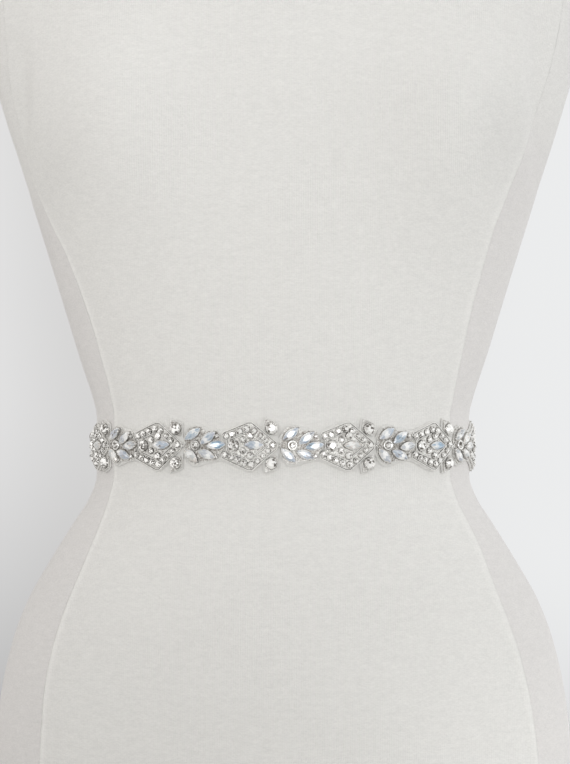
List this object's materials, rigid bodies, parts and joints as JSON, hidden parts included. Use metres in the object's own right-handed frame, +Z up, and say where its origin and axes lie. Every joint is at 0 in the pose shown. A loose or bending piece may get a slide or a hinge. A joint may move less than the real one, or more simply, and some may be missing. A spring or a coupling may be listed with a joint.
{
  "type": "rhinestone bridal sash on a limbless dress form",
  "caption": "Bridal sash of diamond and leaf-spray rhinestone applique with a satin ribbon back, worn round the waist of a jersey-covered limbless dress form.",
  "frame": {"origin": "on the floor, straight below the middle of the waist that carries the sash", "axes": "+Z up; -Y is the front of the form; +X is to the right of someone who looks at the front"},
  "size_m": [0.395, 0.222, 0.752],
  "materials": {
    "jersey": "fine cream jersey drawn tight over the form",
    "backing_cloth": "off-white trimmed backing",
    "silver_setting": "bright silver-plated settings and bugle rods",
    "opal": "milky blue-white opal navettes, foil backed",
    "crystal": "clear faceted crystals, foil backed",
    "satin": "ivory double-face satin",
    "steel": "nickel-plated steel"
  },
  "bodies": {
    "root": {"dress_form": "jersey", "applique_backing": "backing_cloth", "leaf_spray_1": "opal", "leaf_spray_2": "opal", "leaf_spray_3": "opal", "leaf_spray_4": "opal", "leaf_spray_5": "opal", "leaf_spray_6": "opal", "leaf_spray_7": "opal", "leaf_spray_8": "opal", "diamond_1": "silver_setting", "diamond_2": "silver_setting", "diamond_3": "silver_setting", "diamond_4": "silver_setting", "diamond_5": "silver_setting", "diamond_6": "silver_setting", "diamond_7": "silver_setting", "diamond_8": "silver_setting", "bud_upper_1": "crystal", "bud_upper_2": "crystal", "bud_upper_3": "crystal", "bud_upper_4": "crystal", "bud_upper_5": "crystal", "bud_upper_6": "crystal", "bud_upper_7": "crystal", "bud_upper_8": "crystal", "bud_lower_1": "crystal", "bud_lower_2": "crystal", "bud_lower_3": "crystal", "bud_lower_4": "crystal", "bud_lower_5": "crystal", "bud_lower_6": "crystal", "bud_lower_7": "crystal", "bud_lower_8": "crystal", "ribbon_left": "satin", "ribbon_right": "satin", "closure_hook": "steel", "closure_bar": "steel"}
  },
  "joints": []
}
